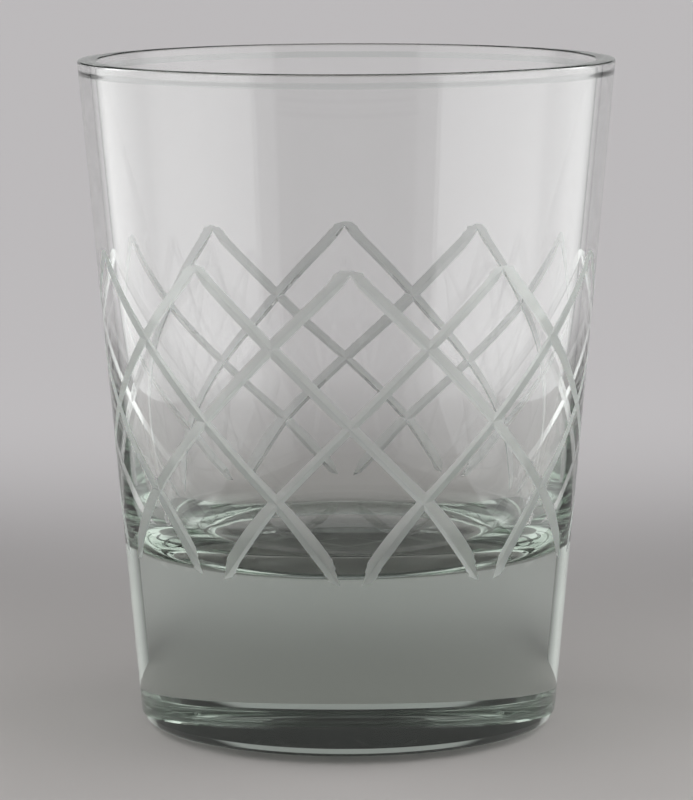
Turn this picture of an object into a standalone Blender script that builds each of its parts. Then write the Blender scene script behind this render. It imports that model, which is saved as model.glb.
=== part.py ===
"""Double old fashioned glass: one piece of clear glass with a heavy solid base and a cut diamond band.

Metres, +Z up. The origin is on the axis, on the plane that the glass stands on.
The body is one turned profile, and the band is cut into its wall by V-edged wheel cuts.
"""

import math

import bmesh
import bpy
from mathutils import Vector

# Outside of the glass
HEIGHT = 0.1125
RIM_DIAMETER = 0.090  # where the line of the wall meets the top of the rim
FOOT_DIAMETER = 0.070  # where it meets the table
RIM_EDGE_RADIUS = 0.0004  # round on the outer and the inner edge of the rim
RIM_CROWN = 0.0001  # rise of the rim's top between its edges
BEVEL_TOP = 0.0024  # height where the wall turns into the bevel of the heel
BEVEL_TILT = math.radians(26.0)  # between the bevel and the vertical
KNEE_HEIGHT = 0.0010  # the bevel meets the underside of the heel here
KNEE_RADIUS = 0.0013
HEEL_WIDTH = 0.0043  # from the knee in to the foot ring
FOOT_RING_WIDTH = 0.0042  # flat ring that the glass rests on
PUNT_DEPTH = 0.0007  # hollow under the base

# Inside of the glass
WALL = 0.0031  # thickness of the wall, measured level
BASE_THICKNESS = 0.0293  # from the table up to the inner floor
DRAW_IN_HEIGHT = 0.0735  # the bore is straight above this and draws in below it
DRAW_IN_RADIUS = 0.215
FLOOR_CORNER_RADIUS = 0.0122
BEAD_DROP = 0.0025  # the soft bead that fire polish leaves inside the rim starts this far down
BEAD_RAMP = 0.0013  # height over which it swells
BEAD_SWELL = 0.00016  # how far it stands into the bore

# Cut diamond band: a first set of slanting cuts leans to the right on the way down, and a second set
# to the left. They start in pairs at the peaks.
PEAKS = 10
BAND_TOP = 0.0807  # height of the peaks
BAND_BOTTOM = 0.0303  # height where the two sets would meet again
PEAKS_CROSSED = 2  # peak spacings that one cut passes on its way down
BAND_TURN = math.radians(0.6)  # the first peak is this far round from the front
CUT_DEPTH = 0.00052
SECOND_SET_RISE = 0.00004  # the second set is this much shallower, so it runs out into the first
CUT_FACE_ANGLE = math.radians(28.0)  # between each face of the V and the wall
CUT_LIFT = 0.00020  # the wheel's edge is this far off the wall where a cut starts and ends
TOP_RUN_IN = 0.0040  # length over which a cut reaches its depth at the peak
BOTTOM_RUN_OUT = 0.0044  # length over which it fades at the bottom
PEAK_OVERRUN = 0.0012  # a cut starts this far above its peak, so that pairs meet there
BOTTOM_OVERRUN = 0.0006  # and ends this far below the bottom
TAIL_START = 0.75  # share of the way down where a cut begins to steepen
TAIL_TURN = math.radians(3.3)  # and how far that keeps its tip from the one it would meet
TAIL_EASE = 1.2  # 1 steepens at once and leaves the tail straight, 2 bends it all the way
WHEEL_REACH = 0.0007  # the cutter stands this far out of the wall

# Facets
TURN_STEPS = 80
CUT_STEPS = 18
CUT_CROWDING = 0.6  # steps are shorter at the ends of a cut: 0 is even, 1 the most
BEAD_STEPS = 3
RIM_EDGE_STEPS = 3
RIM_CROWN_STEPS = 2
KNEE_STEPS = 4
DRAW_IN_STEPS = 5
CORNER_STEPS = 4
PUNT_STEPS = 3

MERGE_DISTANCE = 0.00001


def wall_radius(z):
    """Outer radius of the tapering wall at height z."""
    foot, rim = FOOT_DIAMETER / 2, RIM_DIAMETER / 2
    return foot + (rim - foot) * z / HEIGHT


def wall_slope():
    """Angle between the wall and the vertical."""
    return math.atan2(wall_radius(1.0) - wall_radius(0.0), 1.0)


def arc(centre, radius, start, end, steps):
    """Points on a circle in the (radius, height) plane, both ends included."""
    turns = [start + (end - start) * i / steps for i in range(steps + 1)]
    return [(centre[0] + radius * math.cos(a), centre[1] + radius * math.sin(a)) for a in turns]


def inner_outline():
    """From the axis along the inner floor and up the bore, to where it runs straight."""
    slope = wall_slope()
    bore_at_draw_in = wall_radius(DRAW_IN_HEIGHT) - WALL
    draw_in = (
        bore_at_draw_in - DRAW_IN_RADIUS * math.cos(slope),
        DRAW_IN_HEIGHT + DRAW_IN_RADIUS * math.sin(slope),
    )
    corner_height = BASE_THICKNESS + FLOOR_CORNER_RADIUS
    drop = draw_in[1] - corner_height
    between = DRAW_IN_RADIUS - FLOOR_CORNER_RADIUS
    corner = (draw_in[0] + math.sqrt(between**2 - drop**2), corner_height)
    meeting = math.atan2(corner[1] - draw_in[1], corner[0] - draw_in[0])
    points = [(0.0, BASE_THICKNESS)]
    points += arc(corner, FLOOR_CORNER_RADIUS, -math.pi / 2, meeting, CORNER_STEPS)
    points += arc(draw_in, DRAW_IN_RADIUS, meeting, -slope, DRAW_IN_STEPS)[1:]
    return points


def rim_outline():
    """Over the rim: up the bead in the bore, round both edges and over the low crown between them."""
    points = []
    for i in range(BEAD_STEPS + 1):
        share = i / BEAD_STEPS
        z = HEIGHT - BEAD_DROP + BEAD_RAMP * share
        swell = BEAD_SWELL * (1 - math.cos(math.pi * share)) / 2
        points.append((wall_radius(z) - WALL - swell, z))
    shoulder = HEIGHT - RIM_CROWN - RIM_EDGE_RADIUS
    inner = wall_radius(shoulder) - WALL - BEAD_SWELL + RIM_EDGE_RADIUS
    outer = wall_radius(shoulder) - RIM_EDGE_RADIUS
    half = (outer - inner) / 2
    crown_radius = (half**2 + RIM_CROWN**2) / (2 * RIM_CROWN)
    crown = ((inner + outer) / 2, HEIGHT - crown_radius)
    lean = math.asin(half / crown_radius)
    points += arc((inner, shoulder), RIM_EDGE_RADIUS, math.pi, math.pi / 2, RIM_EDGE_STEPS)
    points += arc(crown, crown_radius, math.pi / 2 + lean, math.pi / 2 - lean, RIM_CROWN_STEPS)[1:-1]
    points += arc((outer, shoulder), RIM_EDGE_RADIUS, math.pi / 2, 0.0, RIM_EDGE_STEPS)
    return points


def heel_outline():
    """From the foot of the wall down the bevel, round the knee and in under the heel to the foot ring."""
    knee = wall_radius(BEVEL_TOP) - (BEVEL_TOP - KNEE_HEIGHT) * math.tan(BEVEL_TILT)
    under = math.atan2(KNEE_HEIGHT, HEEL_WIDTH)
    back = KNEE_RADIUS * math.tan((math.pi / 2 - BEVEL_TILT - under) / 2)
    centre = (
        knee - back * math.cos(under) - KNEE_RADIUS * math.sin(under),
        KNEE_HEIGHT - back * math.sin(under) + KNEE_RADIUS * math.cos(under),
    )
    points = [(wall_radius(BEVEL_TOP), BEVEL_TOP)]
    points += arc(centre, KNEE_RADIUS, -BEVEL_TILT, under - math.pi / 2, KNEE_STEPS)
    points.append((knee - HEEL_WIDTH, 0.0))
    return points


def punt_outline(ring_edge):
    """From the inner edge of the foot ring up over the shallow hollow to the axis."""
    punt_edge = ring_edge - FOOT_RING_WIDTH
    dome_radius = (punt_edge**2 + PUNT_DEPTH**2) / (2 * PUNT_DEPTH)
    dome = (0.0, PUNT_DEPTH - dome_radius)
    edge_angle = math.atan2(-dome[1], punt_edge)
    points = arc(dome, dome_radius, edge_angle, math.pi / 2, PUNT_STEPS)
    points[-1] = (0.0, PUNT_DEPTH)
    return points


def turned_body():
    """The blank of the glass, before it is cut."""
    heel = heel_outline()
    outline = inner_outline() + rim_outline() + heel + punt_outline(heel[-1][0])
    mesh = bpy.data.meshes.new("tumbler")
    edges = [(i, i + 1) for i in range(len(outline) - 1)]
    mesh.from_pydata([(r, 0.0, z) for r, z in outline], edges, [])
    body = bpy.data.objects.new("tumbler", mesh)
    screw = body.modifiers.new("turn", "SCREW")
    screw.axis = "Z"
    screw.angle = math.tau
    screw.steps = TURN_STEPS
    screw.render_steps = TURN_STEPS
    screw.use_merge_vertices = True
    screw.merge_threshold = MERGE_DISTANCE
    screw.use_smooth_shade = True
    return body


def cut_depth(travelled, length, full):
    """Depth of the wheel's edge below the wall, along one cut. It is negative off the wall."""
    run_in = min(1.0, travelled / TOP_RUN_IN)
    run_out = min(1.0, (length - travelled) / BOTTOM_RUN_OUT)
    rounded = math.sin(math.pi / 2 * run_in) * math.sin(math.pi / 2 * run_out)
    return (full + CUT_LIFT) * rounded - CUT_LIFT


def crowded(share):
    """An even share from 0 to 1, moved so that steps crowd towards both ends."""
    return share + CUT_CROWDING * (3 * share**2 - 2 * share**3 - share)


def cut_path(peak, lean):
    """Points that the wheel's edge follows on one cut. lean is 1 in the first set and -1 in the second.

    A swept section turns over with the way it runs, so a cut of the first set runs down from its peak
    and one of the second set up to it. The V then opens outward on both.
    """
    band = BAND_TOP - BAND_BOTTOM
    turn = PEAKS_CROSSED * math.tau / PEAKS
    middle = wall_radius((BAND_TOP + BAND_BOTTOM) / 2)
    length = math.hypot(band, turn * middle)
    full = CUT_DEPTH if lean > 0 else CUT_DEPTH - SECOND_SET_RISE
    first = -PEAK_OVERRUN / band
    last = 1 + BOTTOM_OVERRUN / band
    slope = wall_slope()
    points = []
    for i in range(CUT_STEPS + 1):
        share = first + (last - first) * crowded(i / CUT_STEPS)
        z = BAND_TOP - band * share
        tail = max(0.0, (share - TAIL_START) / (1 - TAIL_START)) ** TAIL_EASE
        angle = BAND_TURN + math.tau * peak / PEAKS + lean * (turn * share - TAIL_TURN * tail)
        depth = cut_depth(length * (share - first), length * (last - first), full)
        outward = Vector((math.sin(angle), -math.cos(angle), 0.0)) * math.cos(slope)
        outward.z = -math.sin(slope)
        on_wall = Vector((wall_radius(z) * math.sin(angle), -wall_radius(z) * math.cos(angle), z))
        points.append(on_wall - outward * depth)
    return points[::lean]


def wheel_edge():
    """The V of the cutting wheel, as a closed curve with its point at the origin, opening along +X."""
    depth = CUT_DEPTH + WHEEL_REACH
    half_width = depth / math.tan(CUT_FACE_ANGLE)
    data = bpy.data.curves.new("wheel_edge", "CURVE")
    data.dimensions = "2D"
    spline = data.splines.new("POLY")
    spline.points.add(2)
    for point, (x, y) in zip(spline.points, [(0.0, 0.0), (depth, -half_width), (depth, half_width)]):
        point.co = (x, y, 0.0, 1.0)
    spline.use_cyclic_u = True
    return bpy.data.objects.new("wheel_edge", data)


def wheel_cut(name, path, edge, scratch):
    """One cut as a solid: the wheel's V swept along its path, made a closed mesh."""
    data = bpy.data.curves.new(name, "CURVE")
    data.dimensions = "3D"
    data.twist_mode = "Z_UP"
    data.bevel_mode = "OBJECT"
    data.bevel_object = edge
    data.use_fill_caps = True
    spline = data.splines.new("POLY")
    spline.points.add(len(path) - 1)
    for point, place in zip(spline.points, path):
        point.co = (*place, 1.0)
    curve = bpy.data.objects.new(name + "_path", data)
    scratch.objects.link(curve)
    graph = bpy.context.evaluated_depsgraph_get()
    mesh = bpy.data.meshes.new_from_object(curve.evaluated_get(graph))
    bpy.data.objects.remove(curve)
    shape = bmesh.new()
    shape.from_mesh(mesh)
    bmesh.ops.remove_doubles(shape, verts=shape.verts, dist=MERGE_DISTANCE)
    bmesh.ops.recalc_face_normals(shape, faces=shape.faces)
    shape.to_mesh(mesh)
    shape.free()
    return bpy.data.objects.new(name, mesh)


def clear_glass():
    material = bpy.data.materials.new("clear_glass")
    material.use_nodes = True
    shader = material.node_tree.nodes["Principled BSDF"]
    shader.inputs["Base Color"].default_value = (0.92, 0.96, 0.94, 1.0)
    shader.inputs["Roughness"].default_value = 0.02
    shader.inputs["Metallic"].default_value = 0.0
    shader.inputs["IOR"].default_value = 1.52
    shader.inputs["Transmission Weight"].default_value = 1.0
    return material


def collection(name, parent):
    made = bpy.data.collections.new(name)
    parent.children.link(made)
    return made


def main():
    for obj in list(bpy.data.objects):
        bpy.data.objects.remove(obj)
    top = bpy.context.scene.collection
    parts = collection("double_old_fashioned_glass", top)
    cutters = collection("wheel_cuts", top)

    body = turned_body()
    body.data.materials.append(clear_glass())
    parts.objects.link(body)

    edge = wheel_edge()
    cutters.objects.link(edge)
    for lean, name in ((1, "first_set"), (-1, "second_set")):
        cuts = collection(name, cutters)
        for peak in range(PEAKS):
            cut = wheel_cut(f"{name}_{peak}", cut_path(peak, lean), edge, cutters)
            cut.hide_render = True
            cut.display_type = "WIRE"
            cuts.objects.link(cut)
        cutting = body.modifiers.new(name, "BOOLEAN")
        cutting.operation = "DIFFERENCE"
        cutting.solver = "EXACT"
        cutting.operand_type = "COLLECTION"
        cutting.collection = cuts
    bpy.data.objects.remove(edge)


main()
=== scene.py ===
import math
import random

import bmesh
import bpy
from mathutils import Matrix, Vector


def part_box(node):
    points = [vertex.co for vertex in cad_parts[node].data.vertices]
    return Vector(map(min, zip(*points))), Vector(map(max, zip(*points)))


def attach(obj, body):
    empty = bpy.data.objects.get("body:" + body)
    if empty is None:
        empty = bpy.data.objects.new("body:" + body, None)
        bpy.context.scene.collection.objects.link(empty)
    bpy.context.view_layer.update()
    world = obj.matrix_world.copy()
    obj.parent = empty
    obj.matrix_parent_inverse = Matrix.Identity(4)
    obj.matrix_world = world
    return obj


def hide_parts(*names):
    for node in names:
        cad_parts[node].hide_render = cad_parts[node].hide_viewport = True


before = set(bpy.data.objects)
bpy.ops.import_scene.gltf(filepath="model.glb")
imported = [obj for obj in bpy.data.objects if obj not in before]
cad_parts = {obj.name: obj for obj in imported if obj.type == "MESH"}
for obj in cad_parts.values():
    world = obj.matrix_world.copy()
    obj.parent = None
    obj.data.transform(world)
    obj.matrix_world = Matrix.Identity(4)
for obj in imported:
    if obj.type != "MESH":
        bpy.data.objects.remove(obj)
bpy.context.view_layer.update()  # one node, the tumbler, standing on z = 0
cadLow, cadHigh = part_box("tumbler")
scene = bpy.context.scene
scene.view_settings.view_transform = "Standard"
bounces = {"all": 32, "through": 32, "mirrored": 16}  # light turns many times inside the thick base
scene.cycles.max_bounces = bounces["all"]
scene.cycles.transmission_bounces = bounces["through"]
scene.cycles.glossy_bounces = bounces["mirrored"]
print("frame loaded:", sorted(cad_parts))


# Shader maths as plain expressions

class Value:  # one output socket
    def __init__(self, board, socket):
        self.board = board
        self.socket = socket

    def work(self, operation, first, second):
        return self.board.node("Math", {"operation": operation}, {0: first, 1: second})

    def __add__(self, other):
        return self.work("ADD", self, other)

    def __radd__(self, other):
        return self.work("ADD", other, self)

    def __sub__(self, other):
        return self.work("SUBTRACT", self, other)

    def __rsub__(self, other):
        return self.work("SUBTRACT", other, self)

    def __mul__(self, other):
        return self.work("MULTIPLY", self, other)

    def __rmul__(self, other):
        return self.work("MULTIPLY", other, self)


class Board:  # the nodes of one material or of the world
    def __init__(self, tree):
        self.tree = tree
        tree.nodes.clear()

    def node(self, kind, settings=None, sockets=None, out=0):
        made = self.tree.nodes.new("ShaderNode" + kind)
        for name, value in (settings or {}).items():
            if name == "stops":
                self.stops(made.color_ramp.elements, value)
            else:
                setattr(made, name, value)
        for name, value in (sockets or {}).items():
            if isinstance(value, Value):
                self.tree.links.new(value.socket, made.inputs[name])
            else:
                made.inputs[name].default_value = value
        return Value(self, made.outputs[out]) if made.outputs else None

    def stops(self, elements, places):
        while len(elements) < len(places):
            elements.new(0.5)  # moved to its place below
        for element, (position, colour) in zip(elements, places):
            element.position = position
            element.color = colour

    def mixColour(self, factor, first, second):
        return self.node("Mix", {"data_type": "RGBA"}, {0: factor, 6: first, 7: second}, out=2)


def newMaterial(name):
    material = bpy.data.materials.new(name)
    material.use_nodes = True
    return material, Board(material.node_tree)


def grey(level):
    return (level, level, level, 1.0)


# The tumbler: one closed body of glass, turned and then cut

tumbler = {
    "height": cadHigh.z - cadLow.z,
    "rimDiameter": 0.090,  # where the line of the wall meets the top of the rim
    "footDiameter": 0.070,  # where it meets the table
    "rimEdge": 0.0004,  # round on both edges of the rim
    "rimCrown": 0.0001,
    "beadDrop": 0.0025,  # a soft bead inside the rim, left by fire polish
    "beadRamp": 0.0013,
    "beadSwell": 0.00016,
    "bevelTop": 0.0024,  # the wall turns into the bevel of the heel here
    "bevelTilt": math.radians(26),
    "kneeHeight": 0.0010,
    "kneeRadius": 0.0013,
    "heelWidth": 0.0043,  # from the knee in to the foot ring
    "footRingWidth": 0.0042,
    "puntDepth": 0.0007,
    "wall": 0.0031,
    "baseThickness": 0.0293,
    "drawInHeight": 0.0735,  # the bore draws in below this
    "drawInRadius": 0.215,
    "cornerRadius": 0.0122,
    "turnSteps": 240,
    "beadSteps": 10,
    "edgeSteps": 10,
    "crownSteps": 6,
    "kneeSteps": 10,
    "drawInSteps": 22,
    "cornerSteps": 14,
    "puntSteps": 10,
    "hold": 0.0001,  # close rings that keep the foot ring's shading flat
    "sharpAngle": math.radians(20),
    "axisWeld": 1e-5,  # points nearer than this become one on the axis
    "offCone": 2e-5,  # a face this near to the cone is part of the wall
    "slack": 1e-6,
}


def wallRadius(z):
    foot, rim = tumbler["footDiameter"] / 2, tumbler["rimDiameter"] / 2
    return foot + (rim - foot) * z / tumbler["height"]


wallSlope = math.atan2(wallRadius(1.0) - wallRadius(0.0), 1.0)  # from the vertical


def arc(centre, radius, start, end, steps):
    turns = [start + (end - start) * i / steps for i in range(steps + 1)]
    return [(centre[0] + radius * math.cos(a), centre[1] + radius * math.sin(a)) for a in turns]


def boreOutline():  # from the axis over the inner floor and up to where the bore runs straight
    t = tumbler
    drawIn = (
        wallRadius(t["drawInHeight"]) - t["wall"] - t["drawInRadius"] * math.cos(wallSlope),
        t["drawInHeight"] + t["drawInRadius"] * math.sin(wallSlope),
    )
    cornerHeight = t["baseThickness"] + t["cornerRadius"]
    between = t["drawInRadius"] - t["cornerRadius"]
    cornerAcross = drawIn[0] + math.sqrt(between**2 - (drawIn[1] - cornerHeight) ** 2)
    meeting = math.atan2(cornerHeight - drawIn[1], cornerAcross - drawIn[0])
    points = [(0.0, t["baseThickness"])]
    points += arc((cornerAcross, cornerHeight), t["cornerRadius"], -math.pi / 2, meeting, t["cornerSteps"])
    points += arc(drawIn, t["drawInRadius"], meeting, -wallSlope, t["drawInSteps"])[1:]
    return points


def rimOutline():  # up the bead, round both edges and over the low crown between them
    t = tumbler
    points = []
    for i in range(t["beadSteps"] + 1):
        share = i / t["beadSteps"]
        z = t["height"] - t["beadDrop"] + t["beadRamp"] * share
        swell = t["beadSwell"] * (1 - math.cos(math.pi * share)) / 2
        points.append((wallRadius(z) - t["wall"] - swell, z))
    shoulder = t["height"] - t["rimCrown"] - t["rimEdge"]
    inner = wallRadius(shoulder) - t["wall"] - t["beadSwell"] + t["rimEdge"]
    outer = wallRadius(shoulder) - t["rimEdge"]
    half = (outer - inner) / 2
    crownRadius = (half**2 + t["rimCrown"] ** 2) / (2 * t["rimCrown"])
    crown = ((inner + outer) / 2, t["height"] - crownRadius)
    lean = math.asin(half / crownRadius)
    points += arc((inner, shoulder), t["rimEdge"], math.pi, math.pi / 2, t["edgeSteps"])
    points += arc(crown, crownRadius, math.pi / 2 + lean, math.pi / 2 - lean, t["crownSteps"])[1:-1]
    points += arc((outer, shoulder), t["rimEdge"], math.pi / 2, 0.0, t["edgeSteps"])
    return points


def footOutline():  # down the bevel, round the knee and under the heel to the foot ring, then the punt
    t = tumbler
    knee = wallRadius(t["bevelTop"]) - (t["bevelTop"] - t["kneeHeight"]) * math.tan(t["bevelTilt"])
    under = math.atan2(t["kneeHeight"], t["heelWidth"])
    back = t["kneeRadius"] * math.tan((math.pi / 2 - t["bevelTilt"] - under) / 2)
    centre = (
        knee - back * math.cos(under) - t["kneeRadius"] * math.sin(under),
        t["kneeHeight"] - back * math.sin(under) + t["kneeRadius"] * math.cos(under),
    )
    ringEdge = knee - t["heelWidth"]
    puntEdge = ringEdge - t["footRingWidth"]
    domeRadius = (puntEdge**2 + t["puntDepth"] ** 2) / (2 * t["puntDepth"])
    domeHeight = t["puntDepth"] - domeRadius
    edgeAngle = math.atan2(-domeHeight, puntEdge)
    points = [(wallRadius(t["bevelTop"]), t["bevelTop"])]
    points += arc(centre, t["kneeRadius"], -t["bevelTilt"], under - math.pi / 2, t["kneeSteps"])
    points += [(ringEdge, 0.0), (ringEdge - t["hold"], 0.0), (puntEdge + t["hold"], 0.0)]
    points += arc((0.0, domeHeight), domeRadius, edgeAngle, math.pi / 2, t["puntSteps"])
    points[-1] = (0.0, t["puntDepth"])
    return points


# The wheel cuts: two sets that cross, each cut by hand and so a little unlike the next

cuts = {
    "peaks": 10,
    "top": 0.0807,
    "bottom": 0.0303,
    "peaksCrossed": 2,
    "turn": math.radians(0.6),  # the first peak, round from the front
    "depth": 0.00052,
    "secondRise": 0.00004,  # the second set is cut a little shallower
    "faceAngle": math.radians(28),
    "lift": 0.0002,  # the wheel's edge is off the wall by this at both ends
    "runIn": 0.0040,
    "runOut": 0.0044,
    "overrun": 0.0012,
    "bottomOverrun": 0.0006,
    "tailStart": 0.75,  # a cut steepens from here on, so that tips stay apart
    "tailTurn": math.radians(3.3),
    "tailEase": 1.2,  # 1 leaves the tail straight, 2 bends it all the way
    "reach": 0.0009,
    "steps": 56,
    "tailSwell": 0.27,  # cuts are deepest just before they run out
    "swellAt": 0.90,
    "swellSpread": 0.12,
    "waist": 0.10,  # and shallowest a little under the middle
    "waistAt": 0.58,
    "waistSpread": 0.16,
    "handSeed": 7,
    "handDepth": 0.08,
    "handLength": 0.0009,
    "handStart": 0.4,  # a cut's start varies by this share of its length's spread
    "handTurn": math.radians(0.30),
    "weld": 1e-6,
}


def cutDepth(share, travelled, length, full):
    runIn = min(1.0, travelled / cuts["runIn"])
    runOut = min(1.0, (length - travelled) / cuts["runOut"])
    swell = cuts["tailSwell"] * math.exp(-(((share - cuts["swellAt"]) / cuts["swellSpread"]) ** 2))
    waist = cuts["waist"] * math.exp(-(((share - cuts["waistAt"]) / cuts["waistSpread"]) ** 2))
    rounded = math.sin(math.pi / 2 * runIn) * math.sin(math.pi / 2 * runOut)
    return (full * (1 + swell - waist) + cuts["lift"]) * rounded - cuts["lift"]


def cutPath(peak, lean, hand):
    band = cuts["top"] - cuts["bottom"]
    turn = cuts["peaksCrossed"] * math.tau / cuts["peaks"]
    full = cuts["depth"] if lean > 0 else cuts["depth"] - cuts["secondRise"]
    full *= 1 + hand.uniform(-1, 1) * cuts["handDepth"]
    early = hand.uniform(-cuts["handStart"], cuts["handStart"]) * cuts["handLength"]
    first = -(cuts["overrun"] + early) / band
    last = 1 + (cuts["bottomOverrun"] + hand.uniform(-1, 1) * cuts["handLength"]) / band
    aside = hand.uniform(-1, 1) * cuts["handTurn"]
    bow = hand.uniform(-1, 1) * cuts["handTurn"]
    length = math.hypot(band, turn * wallRadius((cuts["top"] + cuts["bottom"]) / 2))
    points = []
    for i in range(cuts["steps"] + 1):
        share = first + (last - first) * i / cuts["steps"]
        z = cuts["top"] - band * share
        tail = max(0.0, (share - cuts["tailStart"]) / (1 - cuts["tailStart"])) ** cuts["tailEase"]
        angle = cuts["turn"] + math.tau * peak / cuts["peaks"]
        angle += lean * (turn * share - cuts["tailTurn"] * tail)
        angle += aside * share + bow * math.sin(math.pi * min(1.0, max(0.0, share)))
        depth = cutDepth(share, length * (share - first), length * (last - first), full)
        out = Vector((math.sin(angle), -math.cos(angle), 0.0))
        normal = out * math.cos(wallSlope) - Vector((0, 0, math.sin(wallSlope)))
        points.append(out * wallRadius(z) + Vector((0, 0, z)) - normal * depth)
    return points[::lean]  # run this way round, the V opens outward in both sets


def polySpline(name, points, closed):
    curve = bpy.data.curves.new(name, "CURVE")
    curve.dimensions = "3D"
    spline = curve.splines.new("POLY")
    spline.points.add(len(points) - 1)
    for point, place in zip(spline.points, points):
        point.co = (*place, 1.0)
    spline.use_cyclic_u = closed
    made = bpy.data.objects.new(name, curve)
    scene.collection.objects.link(made)
    return made


def wheelCut(name, path, edge):  # the wheel's V swept along one cut, as a closed mesh
    swept = polySpline(name + "Path", path, False)
    swept.data.twist_mode = "Z_UP"
    swept.data.bevel_mode = "OBJECT"
    swept.data.bevel_object = edge
    swept.data.use_fill_caps = True
    mesh = bpy.data.meshes.new_from_object(swept.evaluated_get(bpy.context.evaluated_depsgraph_get()))
    bpy.data.objects.remove(swept)
    shape = bmesh.new()
    shape.from_mesh(mesh)
    bmesh.ops.remove_doubles(shape, verts=shape.verts, dist=cuts["weld"])
    bmesh.ops.recalc_face_normals(shape, faces=shape.faces)
    for face in shape.faces:
        face.material_index = 1
        face.smooth = True
    shape.to_mesh(mesh)
    shape.free()
    return bpy.data.objects.new(name, mesh)


def turnedBlank():
    outline = boreOutline() + rimOutline() + footOutline()
    mesh = bpy.data.meshes.new("blank")
    mesh.from_pydata([(r, 0.0, z) for r, z in outline], [(i, i + 1) for i in range(len(outline) - 1)], [])
    blank = bpy.data.objects.new("blank", mesh)
    scene.collection.objects.link(blank)
    screw = blank.modifiers.new("turn", "SCREW")
    screw.axis = "Z"
    screw.angle = math.tau
    screw.steps = screw.render_steps = tumbler["turnSteps"]
    screw.use_merge_vertices = True
    screw.merge_threshold = tumbler["axisWeld"]
    screw.use_smooth_shade = True
    return blank


def cutGlass(materials):
    blank = turnedBlank()
    depth = cuts["depth"] * (1 + cuts["tailSwell"]) + cuts["reach"]
    halfWidth = depth / math.tan(cuts["faceAngle"])
    edge = polySpline("wheelEdge", [(0, 0, 0), (depth, -halfWidth, 0), (depth, halfWidth, 0)], True)
    edge.data.dimensions = "2D"
    hand = random.Random(cuts["handSeed"])
    made = []
    for lean, name in ((1, "first"), (-1, "second")):
        group = bpy.data.collections.new(name + "Cuts")
        for peak in range(cuts["peaks"]):
            cut = wheelCut(f"{name}Cut{peak}", cutPath(peak, lean, hand), edge)
            for material in materials:
                cut.data.materials.append(material)
            group.objects.link(cut)
            made.append(cut)
        cutting = blank.modifiers.new(name, "BOOLEAN")
        cutting.operation = "DIFFERENCE"
        cutting.solver = "MANIFOLD"
        cutting.operand_type = "COLLECTION"
        cutting.collection = group
    for material in materials:
        blank.data.materials.append(material)
    glass = bpy.data.meshes.new_from_object(blank.evaluated_get(bpy.context.evaluated_depsgraph_get()))
    for spare in made + [blank, edge]:
        bpy.data.objects.remove(spare)
    for group in [g for g in bpy.data.collections if g.name.endswith("Cuts")]:
        bpy.data.collections.remove(group)
    return glass


def markCuts(mesh):  # 1 on the ground faces and 0 on the polished ones, for the material to read
    marks = mesh.attributes.new("cut", "FLOAT", "FACE")
    for face in mesh.polygons:
        marks.data[face.index].value = float(face.material_index)
        face.material_index = 0


def trueNormals(mesh):  # the wall keeps its cone's own normals, so its reflections stay even
    cone = Vector((math.cos(wallSlope), 0, -math.sin(wallSlope)))
    marks = mesh.attributes["cut"].data
    normals = [Vector()] * len(mesh.loops)
    lowest = tumbler["bevelTop"] - tumbler["slack"]
    highest = tumbler["height"] - tumbler["rimCrown"] - tumbler["rimEdge"] + tumbler["slack"]
    for face in mesh.polygons:
        spots = [mesh.vertices[v].co for v in face.vertices]
        onCone = all(abs(math.hypot(p.x, p.y) - wallRadius(p.z)) < tumbler["offCone"] for p in spots)
        onWall = onCone and all(lowest <= p.z < highest for p in spots)
        if marks[face.index].value or not onWall:
            continue
        for loop, p in zip(face.loop_indices, spots):
            normals[loop] = Matrix.Rotation(math.atan2(p.y, p.x), 3, "Z") @ cone
    mesh.normals_split_custom_set(normals)


# Clear glass with a trace of green, and ground faces where it is cut

glassLook = {
    "ior": 1.52,
    "polishedTint": (1.0, 1.0, 1.0, 1.0),
    "groundTint": (0.975, 1.0, 0.98, 1.0),
    "polishedRoughness": 0.0,
    "groundRoughness": 0.75,
    "groundUneven": 0.12,
    "groundSheen": 0.26,  # share of light that the ground faces throw straight back
    "grindScale": 1500.0,
    "grindDetail": 3.0,
    "grindMiddle": 0.5,
    "grindDepth": 0.00001,
    "grindStrength": 0.5,
    "absorbColour": (0.32, 0.42, 0.34, 1.0),
    "absorbDensity": 13.5,
}


def clearGlass():
    g = glassLook
    material, board = newMaterial("clear glass")
    cut = board.node("Attribute", {"attribute_name": "cut"}, out="Fac")
    place = board.node("TexCoord", out="Object")
    grind = board.node("TexNoise", None, {
        "Vector": place,
        "Scale": g["grindScale"],
        "Detail": g["grindDetail"],
    })
    tint = board.mixColour(cut, g["polishedTint"], g["groundTint"])
    ground = g["groundRoughness"] + (grind - g["grindMiddle"]) * g["groundUneven"]
    roughness = g["polishedRoughness"] + cut * ground
    bump = board.node("Bump", None, {
        "Height": grind * cut,
        "Strength": g["grindStrength"],
        "Distance": g["grindDepth"],
    })
    surface = board.node("BsdfPrincipled", None, {
        "Base Color": tint,
        "Roughness": roughness,
        "Metallic": cut * g["groundSheen"],
        "IOR": g["ior"],
        "Transmission Weight": 1.0,
        "Normal": bump,
    })
    inside = board.node("VolumeAbsorption", None, {
        "Color": g["absorbColour"],
        "Density": g["absorbDensity"],
    })
    board.node("OutputMaterial", None, {"Surface": surface, "Volume": inside})
    return material


glass = clearGlass()
mesh = cutGlass([glass, glass])
markCuts(mesh)
mesh.materials.clear()
mesh.materials.append(glass)
mesh.shade_smooth()
mesh.set_sharp_from_angle(angle=tumbler["sharpAngle"])
trueNormals(mesh)
piece = bpy.data.objects.new("cut_glass_tumbler", mesh)
scene.collection.objects.link(piece)
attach(piece, "root")
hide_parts("tumbler")
print("tumbler:", len(mesh.polygons), "faces")


# Pale floor, two softboxes and two lamps over the floor, in a dark room

floorLook = {"size": 12.0, "drop": 0.0004, "colour": (0.62, 0.596, 0.582, 1.0)}


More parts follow.
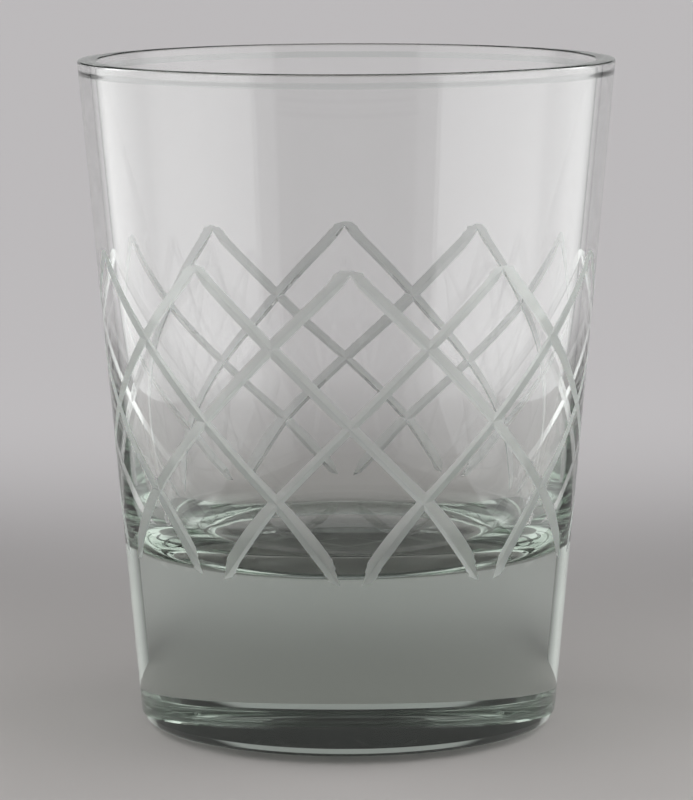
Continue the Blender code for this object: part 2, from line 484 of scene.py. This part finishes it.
def paleFloor():
    material, board = newMaterial("pale floor")
    paper = board.node("BsdfDiffuse", None, {"Color": floorLook["colour"]})
    board.node("OutputMaterial", None, {"Surface": paper})
    half = floorLook["size"] / 2
    sheet = bpy.data.meshes.new("floor")
    corners = [(-half, -half, 0), (half, -half, 0), (half, half, 0), (-half, half, 0)]
    sheet.from_pydata(corners, [], [(0, 1, 2, 3)])
    sheet.materials.append(material)
    floor = bpy.data.objects.new("floor", sheet)
    floor.location.z = cadLow.z - floorLook["drop"]
    scene.collection.objects.link(floor)


paleFloor()

softboxLook = {  # upright cloths of light beside the glass
    "front": -0.195,
    "rear": 0.125,
    "high": 0.26,
    "foot": -0.004,  # sunk a little, so that no gap shows under the cloth
    "up": [(0.02, 1.0), (0.08, 0.97), (0.18, 0.77)],  # shares of the level from foot to top
}
softboxes = [  # "along" has shares of the level from front to rear
    {
        "name": "leftSoftbox",
        "x": -0.15,
        "level": 1.72,
        "along": [(-0.16, 0.75), (-0.08, 0.92), (0.0, 1.0), (0.06, 1.0), (0.09, 0.82), (0.125, 0.12)],
    },
    {
        "name": "rightSoftbox",
        "x": 0.15,
        "level": 2.02,
        "along": [(-0.16, 0.75), (-0.08, 0.92), (0.0, 1.0), (0.06, 0.82), (0.09, 0.58), (0.125, 0.10)],
    },
]


def glowShare(board, along, stops, start, length):
    places = [((place - start) / length, grey(share)) for place, share in stops]
    return board.node("ValToRGB", {"stops": places}, {0: along})


def softbox(box):
    front, rear, high = softboxLook["front"], softboxLook["rear"], softboxLook["high"]
    material, board = newMaterial(box["name"])
    spot = board.node("TexCoord", out="Generated")
    along = board.node("SeparateXYZ", None, {0: spot}, out="Y")
    up = board.node("SeparateXYZ", None, {0: spot}, out="Z")
    alongShare = glowShare(board, along, box["along"], front, rear - front)
    upShare = glowShare(board, up, softboxLook["up"], 0.0, high)
    share = board.node("VectorMath", {"operation": "MULTIPLY"}, {0: alongShare, 1: upShare})
    cloth = board.node("Emission", None, {"Color": share, "Strength": box["level"]})
    board.node("OutputMaterial", None, {"Surface": cloth})
    corners = [(0, front, 0), (0, rear, 0), (0, rear, high), (0, front, high)]
    sheet = bpy.data.meshes.new(box["name"])
    sheet.from_pydata(corners, [], [(0, 1, 2, 3)])
    sheet.materials.append(material)
    made = bpy.data.objects.new(box["name"], sheet)
    made.location = (box["x"], 0.0, softboxLook["foot"])
    made.visible_camera = False
    scene.collection.objects.link(made)


for box in softboxes:
    softbox(box)

lampLook = {  # both lamps hang over the floor and stay clear of the glass itself
    "high": 0.27,
    "wide": 5.0,
    "long": 6.0,
    "spread": math.radians(80),
    "colour": (0.99, 1.0, 1.045),
}
floorLamps = [
    {"name": "rearLamp", "y": 3.19, "level": 0.72},
    {"name": "frontLamp", "y": -3.19, "level": 0.45},
]


def floorLamp(lamp):
    light = bpy.data.lights.new(lamp["name"], "AREA")
    light.shape = "RECTANGLE"
    light.size = lampLook["wide"]
    light.size_y = lampLook["long"]
    light.spread = lampLook["spread"]
    light.color = lampLook["colour"]
    light.energy = lamp["level"] * math.pi * light.size * light.size_y
    made = bpy.data.objects.new(lamp["name"], light)
    made.location = (0.0, lamp["y"], lampLook["high"])
    made.visible_camera = False
    scene.collection.objects.link(made)


for lamp in floorLamps:
    floorLamp(lamp)

room = {
    "horizon": 0.46,  # a pale strip along the horizon
    "stripTop": math.radians(7.5),
    "stripFade": math.radians(1.5),
    "dark": 0.04,  # and a dark room above it
    "behindCamera": 0.30,  # with a little light from behind the camera
    "behindFrom": -0.3,
    "behindFull": -0.8,
}


def studioRoom():
    world = bpy.data.worlds.new("studio room")
    scene.world = world
    world.use_nodes = True
    board = Board(world.node_tree)
    towards = board.node("TexCoord", out="Generated")
    up = board.node("SeparateXYZ", None, {0: towards}, out="Z")
    ahead = board.node("SeparateXYZ", None, {0: towards}, out="Y")
    strip = board.node("MapRange", {"interpolation_type": "SMOOTHSTEP"}, {
        "Value": up,
        "From Min": math.sin(room["stripTop"]),
        "From Max": math.sin(room["stripTop"] + room["stripFade"]),
        "To Min": room["horizon"],
        "To Max": room["dark"],
    })
    behind = board.node("MapRange", {"interpolation_type": "SMOOTHSTEP"}, {
        "Value": ahead,
        "From Min": room["behindFrom"],
        "From Max": room["behindFull"],
        "To Min": 0.0,
        "To Max": room["behindCamera"],
    })
    sky = board.node("Background", None, {"Color": grey(1.0), "Strength": strip + behind})
    board.node("OutputWorld", None, {"Surface": sky})


studioRoom()
print("studio ready")


# Camera, where the photograph was taken from

view = {
    "at": Vector((-0.00016, -0.71277, 0.15482)),
    "towards": Vector((-0.00016, 0.0, 0.05474)),
    "roll": -0.0035,
    "lens": 191.65,
    "sensor": 36.0,
}


def photographCamera():
    data = bpy.data.cameras.new("camera")
    data.lens = view["lens"]
    data.sensor_width = view["sensor"]
    camera = bpy.data.objects.new("camera", data)
    ahead = (view["towards"] - view["at"]).normalized()
    turn = ahead.to_track_quat("-Z", "Y").to_matrix() @ Matrix.Rotation(view["roll"], 3, "Z")
    camera.matrix_world = Matrix.Translation(view["at"]) @ turn.to_4x4()
    scene.collection.objects.link(camera)
    scene.camera = camera


photographCamera()
print("camera ready")
